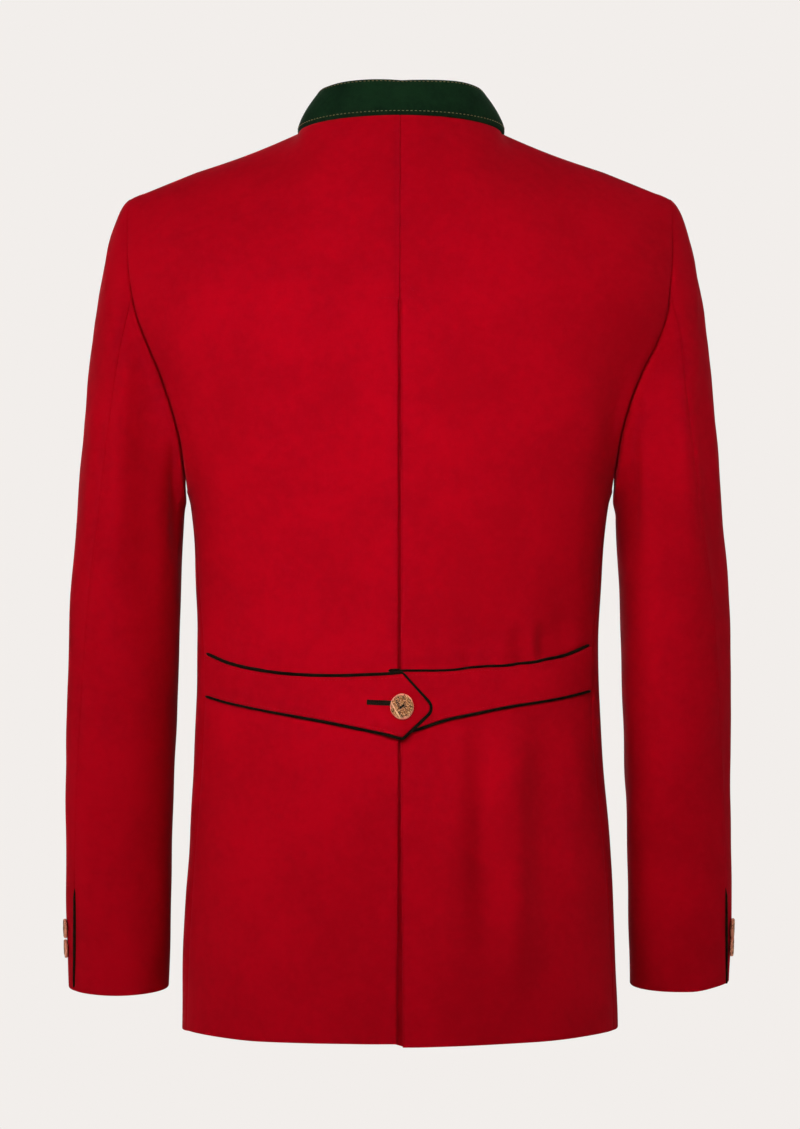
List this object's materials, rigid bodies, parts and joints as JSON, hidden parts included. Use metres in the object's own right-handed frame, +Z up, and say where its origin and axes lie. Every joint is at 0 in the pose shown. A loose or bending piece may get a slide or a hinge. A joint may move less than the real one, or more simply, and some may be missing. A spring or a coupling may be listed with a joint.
{
  "type": "trachten jacket",
  "caption": "Wool trachten jacket in its worn, hollow shape, with a green felt stand collar, a pleated back and a buttoned two-part back belt.",
  "frame": {"origin": "middle of the neck opening, level with the upper ends of the shoulder seams, where the jacket hangs round the wearer's neck", "axes": "+Z up along the wearer's back, -Y the way the wearer faces, +X the wearer's left"},
  "size_m": [0.5492, 0.2819, 0.766],
  "materials": {
    "red_wool": "milled wool, matt with a short nap",
    "green_felt": "dense wool felt, matt",
    "staghorn": "polished horn with brown bark streaks"
  },
  "bodies": {
    "root": {"back_left": "red_wool", "back_right": "red_wool", "pleat_underlay": "red_wool", "front_left": "red_wool", "front_right": "red_wool", "collar": "green_felt", "top_sleeve_left": "red_wool", "under_sleeve_left": "red_wool", "vent_piping_left": "green_felt", "cuff_button_left_1": "staghorn", "cuff_button_left_2": "staghorn", "top_sleeve_right": "red_wool", "under_sleeve_right": "red_wool", "vent_piping_right": "green_felt", "cuff_button_right_1": "staghorn", "cuff_button_right_2": "staghorn", "belt_left": "red_wool", "belt_right": "red_wool", "belt_left_piping": "green_felt", "belt_right_piping_top": "green_felt", "belt_right_piping_bottom": "green_felt", "belt_button": "staghorn", "front_button_1": "staghorn", "front_button_2": "staghorn", "front_button_3": "staghorn", "front_button_4": "staghorn", "front_button_5": "staghorn"}
  },
  "joints": []
}
